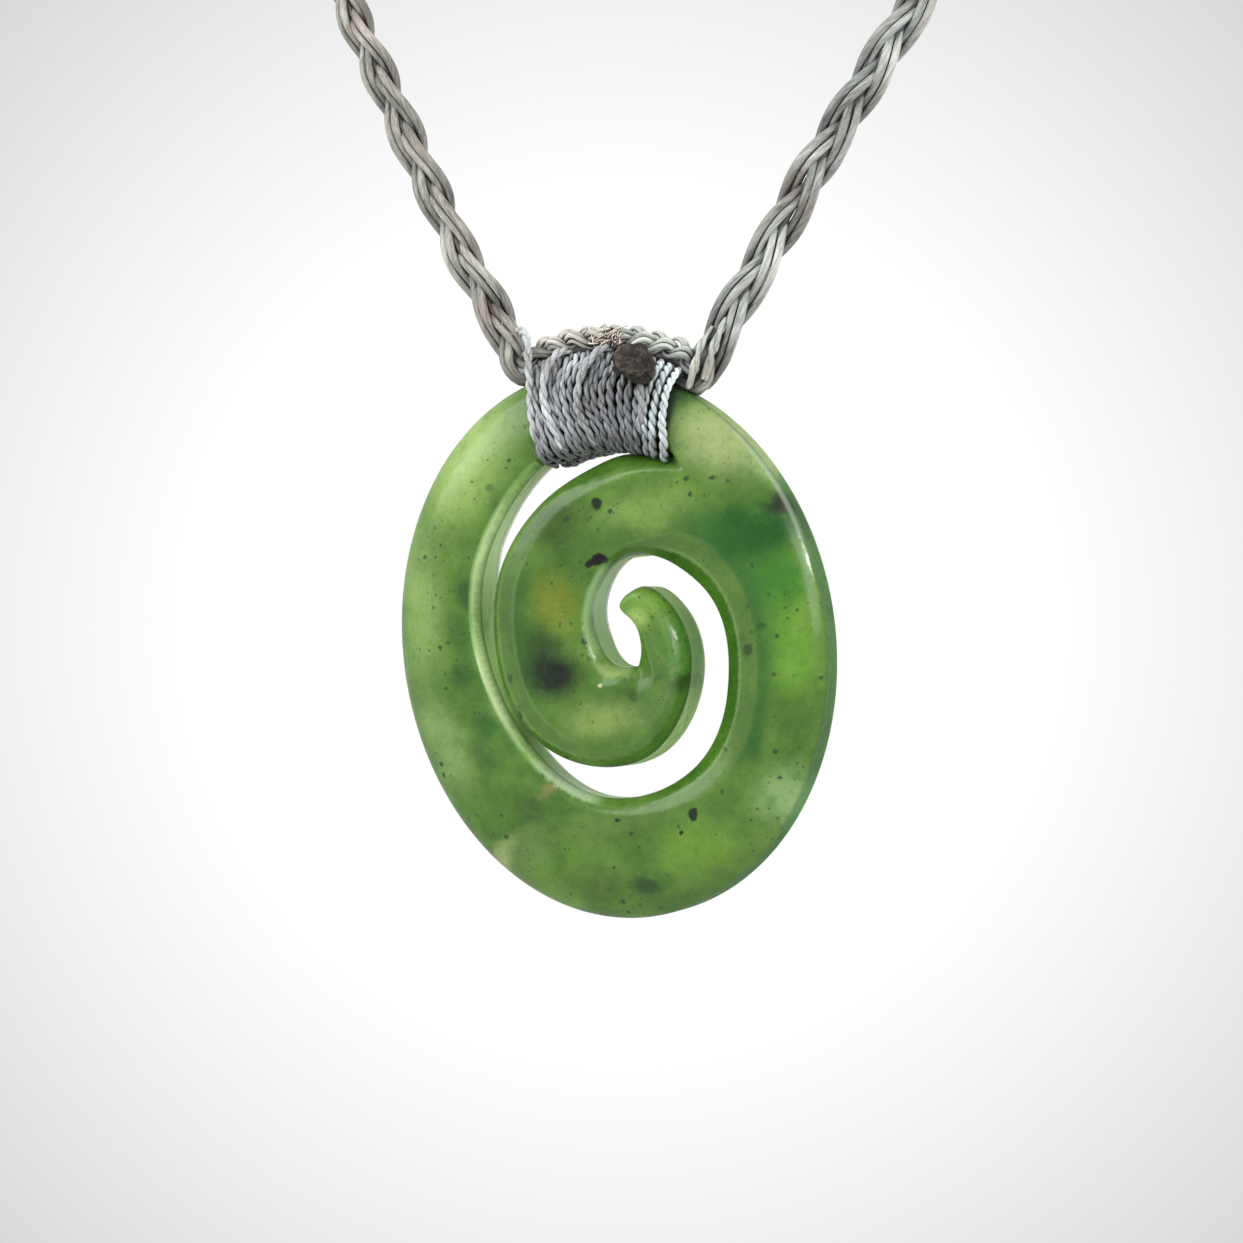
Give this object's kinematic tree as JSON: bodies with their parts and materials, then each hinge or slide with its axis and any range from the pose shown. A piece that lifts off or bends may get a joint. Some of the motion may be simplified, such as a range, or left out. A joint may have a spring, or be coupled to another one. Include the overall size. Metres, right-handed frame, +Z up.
{
  "type": "koru pendant necklace",
  "caption": "Oval green jade koru pendant cut through with a spiral, bound with grey thread to a grey plaited cord that makes a whole neck loop closed by a plain toggle.",
  "frame": {"origin": "where the loop sits on the nape of the neck, on the neck side of the toggle", "axes": "+Z up, +X to the right of somebody who looks at the pendant's face, +Y from the pendant's face to the nape"},
  "size_m": [0.1293, 0.1415, 0.2334],
  "materials": {
    "jade": "polished translucent green stone with darker and lighter patches and small black flecks",
    "cord": "plaited waxed thread, grey, with a soft sheen",
    "thread": "twisted waxed thread, grey, wound side by side",
    "melted_thread": "melted and hardened thread end, dark brown",
    "toggle": "plain polished green stone"
  },
  "bodies": {
    "root": {"koru": "jade", "binding": "thread", "thread_knot": "melted_thread", "cord_left": "cord", "cord_right": "cord", "toggle": "toggle"}
  },
  "joints": []
}
